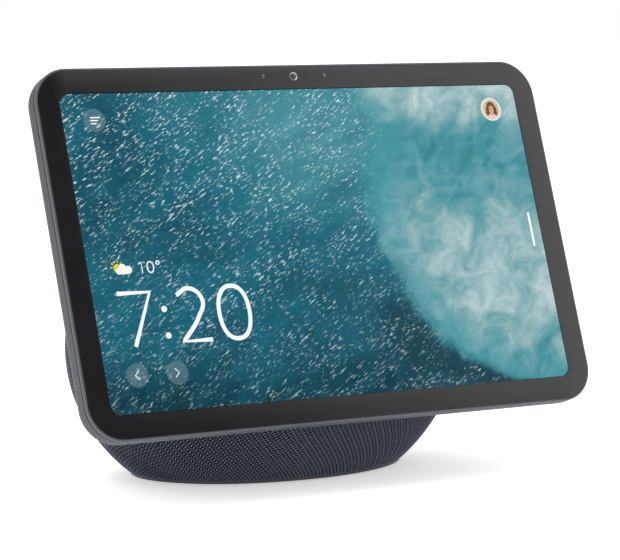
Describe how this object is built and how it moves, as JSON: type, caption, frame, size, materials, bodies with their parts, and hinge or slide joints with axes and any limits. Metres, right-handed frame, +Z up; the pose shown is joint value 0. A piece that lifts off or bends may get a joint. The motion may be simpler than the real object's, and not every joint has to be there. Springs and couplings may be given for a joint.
{
  "type": "smart display",
  "caption": "Tilted touch screen in a slim housing, fixed to an egg shaped speaker pod covered in knitted fabric.",
  "frame": {"origin": "on the table, at the centre of the foot pad's underside, under the middle of the pod", "axes": "+Z up, screen faces -Y, +X to the right of someone looking at the screen"},
  "size_m": [0.2083, 0.1145, 0.1493],
  "materials": {
    "glass": "polished black glass, printed border",
    "adhesive": "foam tape",
    "screen": "lit liquid crystal panel",
    "diffuser": "white film",
    "rim": "satin",
    "housing": "fine moulded satin",
    "button": "satin",
    "alloy": "brushed sheet",
    "steel": "zinc plated",
    "screw": "zinc plated",
    "camera": "matt black",
    "lens": "coated lens",
    "board": "solder resist",
    "gold_board": "gold plated board",
    "chip": "moulded epoxy",
    "pad": "silicone",
    "flex": "polyimide film",
    "ribbon": "flat cable",
    "fabric": "knitted polyester",
    "shell": "moulded",
    "chassis": "moulded",
    "basket": "black",
    "magnet": "plated",
    "cone": "pressed pulp",
    "coil": "enamelled wire",
    "surround": "matt",
    "spider": "treated cloth",
    "weight": "plain",
    "base": "smooth",
    "foot": "matt"
  },
  "bodies": {
    "root": {"cover_glass": "glass", "glass_adhesive": "adhesive", "lcd_panel": "screen", "backlight_unit": "diffuser", "display_frame": "rim", "mid_plate": "alloy", "mid_plate_screws": "screw", "rear_housing": "housing", "camera_module": "camera", "camera_lens": "lens", "microphone_left": "gold_board", "microphone_right": "gold_board", "main_board": "board", "board_screws": "screw", "processor": "chip", "thermal_pad": "pad", "processor_shield": "steel", "radio_shield": "steel", "memory_chips": "chip", "antenna_left": "flex", "antenna_right": "flex", "button_board": "board", "button_switches": "steel", "display_flex": "flex", "camera_flex": "flex", "button_flex": "flex", "neck_bracket": "steel", "housing_screws": "screw", "neck_screws": "screw", "fabric_sleeve": "fabric", "pod_shell": "shell", "speaker_chassis": "chassis", "woofer_basket": "basket", "woofer_magnet": "magnet", "woofer_surround": "surround", "woofer_spider": "spider", "woofer_screws": "screw", "left_driver_frame": "basket", "left_driver_magnet": "magnet", "left_driver_surround": "surround", "right_driver_frame": "basket", "right_driver_magnet": "magnet", "right_driver_surround": "surround", "driver_screws": "screw", "power_board": "board", "power_jack": "camera", "inlet_bezel": "chassis", "pod_ribbon": "ribbon", "ballast_weight": "weight", "base_plate": "base", "base_screws": "screw", "foot_pad": "foot"},
    "volume_up": {"volume_up_button": "button"},
    "volume_down": {"volume_down_button": "button"},
    "mute": {"mute_button": "button"},
    "woofer": {"woofer_cone": "cone", "woofer_coil": "coil"},
    "left_driver": {"left_driver_cone": "cone"},
    "right_driver": {"right_driver_cone": "cone"}
  },
  "joints": [
    {"name": "volume_up_press", "type": "slide", "parent": "root", "child": "volume_up", "axis": [-1, 0, 0], "range_m": [0, 0.0004], "stiffness_N_per_m": 2000},
    {"name": "volume_down_press", "type": "slide", "parent": "root", "child": "volume_down", "axis": [-1, 0, 0], "range_m": [0, 0.0004], "stiffness_N_per_m": 2000},
    {"name": "mute_press", "type": "slide", "parent": "root", "child": "mute", "axis": [-1, 0, 0], "range_m": [0, 0.0004], "stiffness_N_per_m": 2000},
    {"name": "woofer_stroke", "type": "slide", "parent": "root", "child": "woofer", "axis": [0, 1, 0], "range_m": [-0.003, 0.003], "stiffness_N_per_m": 1500, "deforming": ["woofer_surround", "woofer_spider"]},
    {"name": "left_driver_stroke", "type": "slide", "parent": "root", "child": "left_driver", "axis": [-1, 0, 0], "range_m": [-0.0015, 0.0015], "stiffness_N_per_m": 1200, "deforming": ["left_driver_surround"]},
    {"name": "right_driver_stroke", "type": "slide", "parent": "root", "child": "right_driver", "axis": [1, 0, 0], "range_m": [-0.0015, 0.0015], "stiffness_N_per_m": 1200, "deforming": ["right_driver_surround"]}
  ]
}
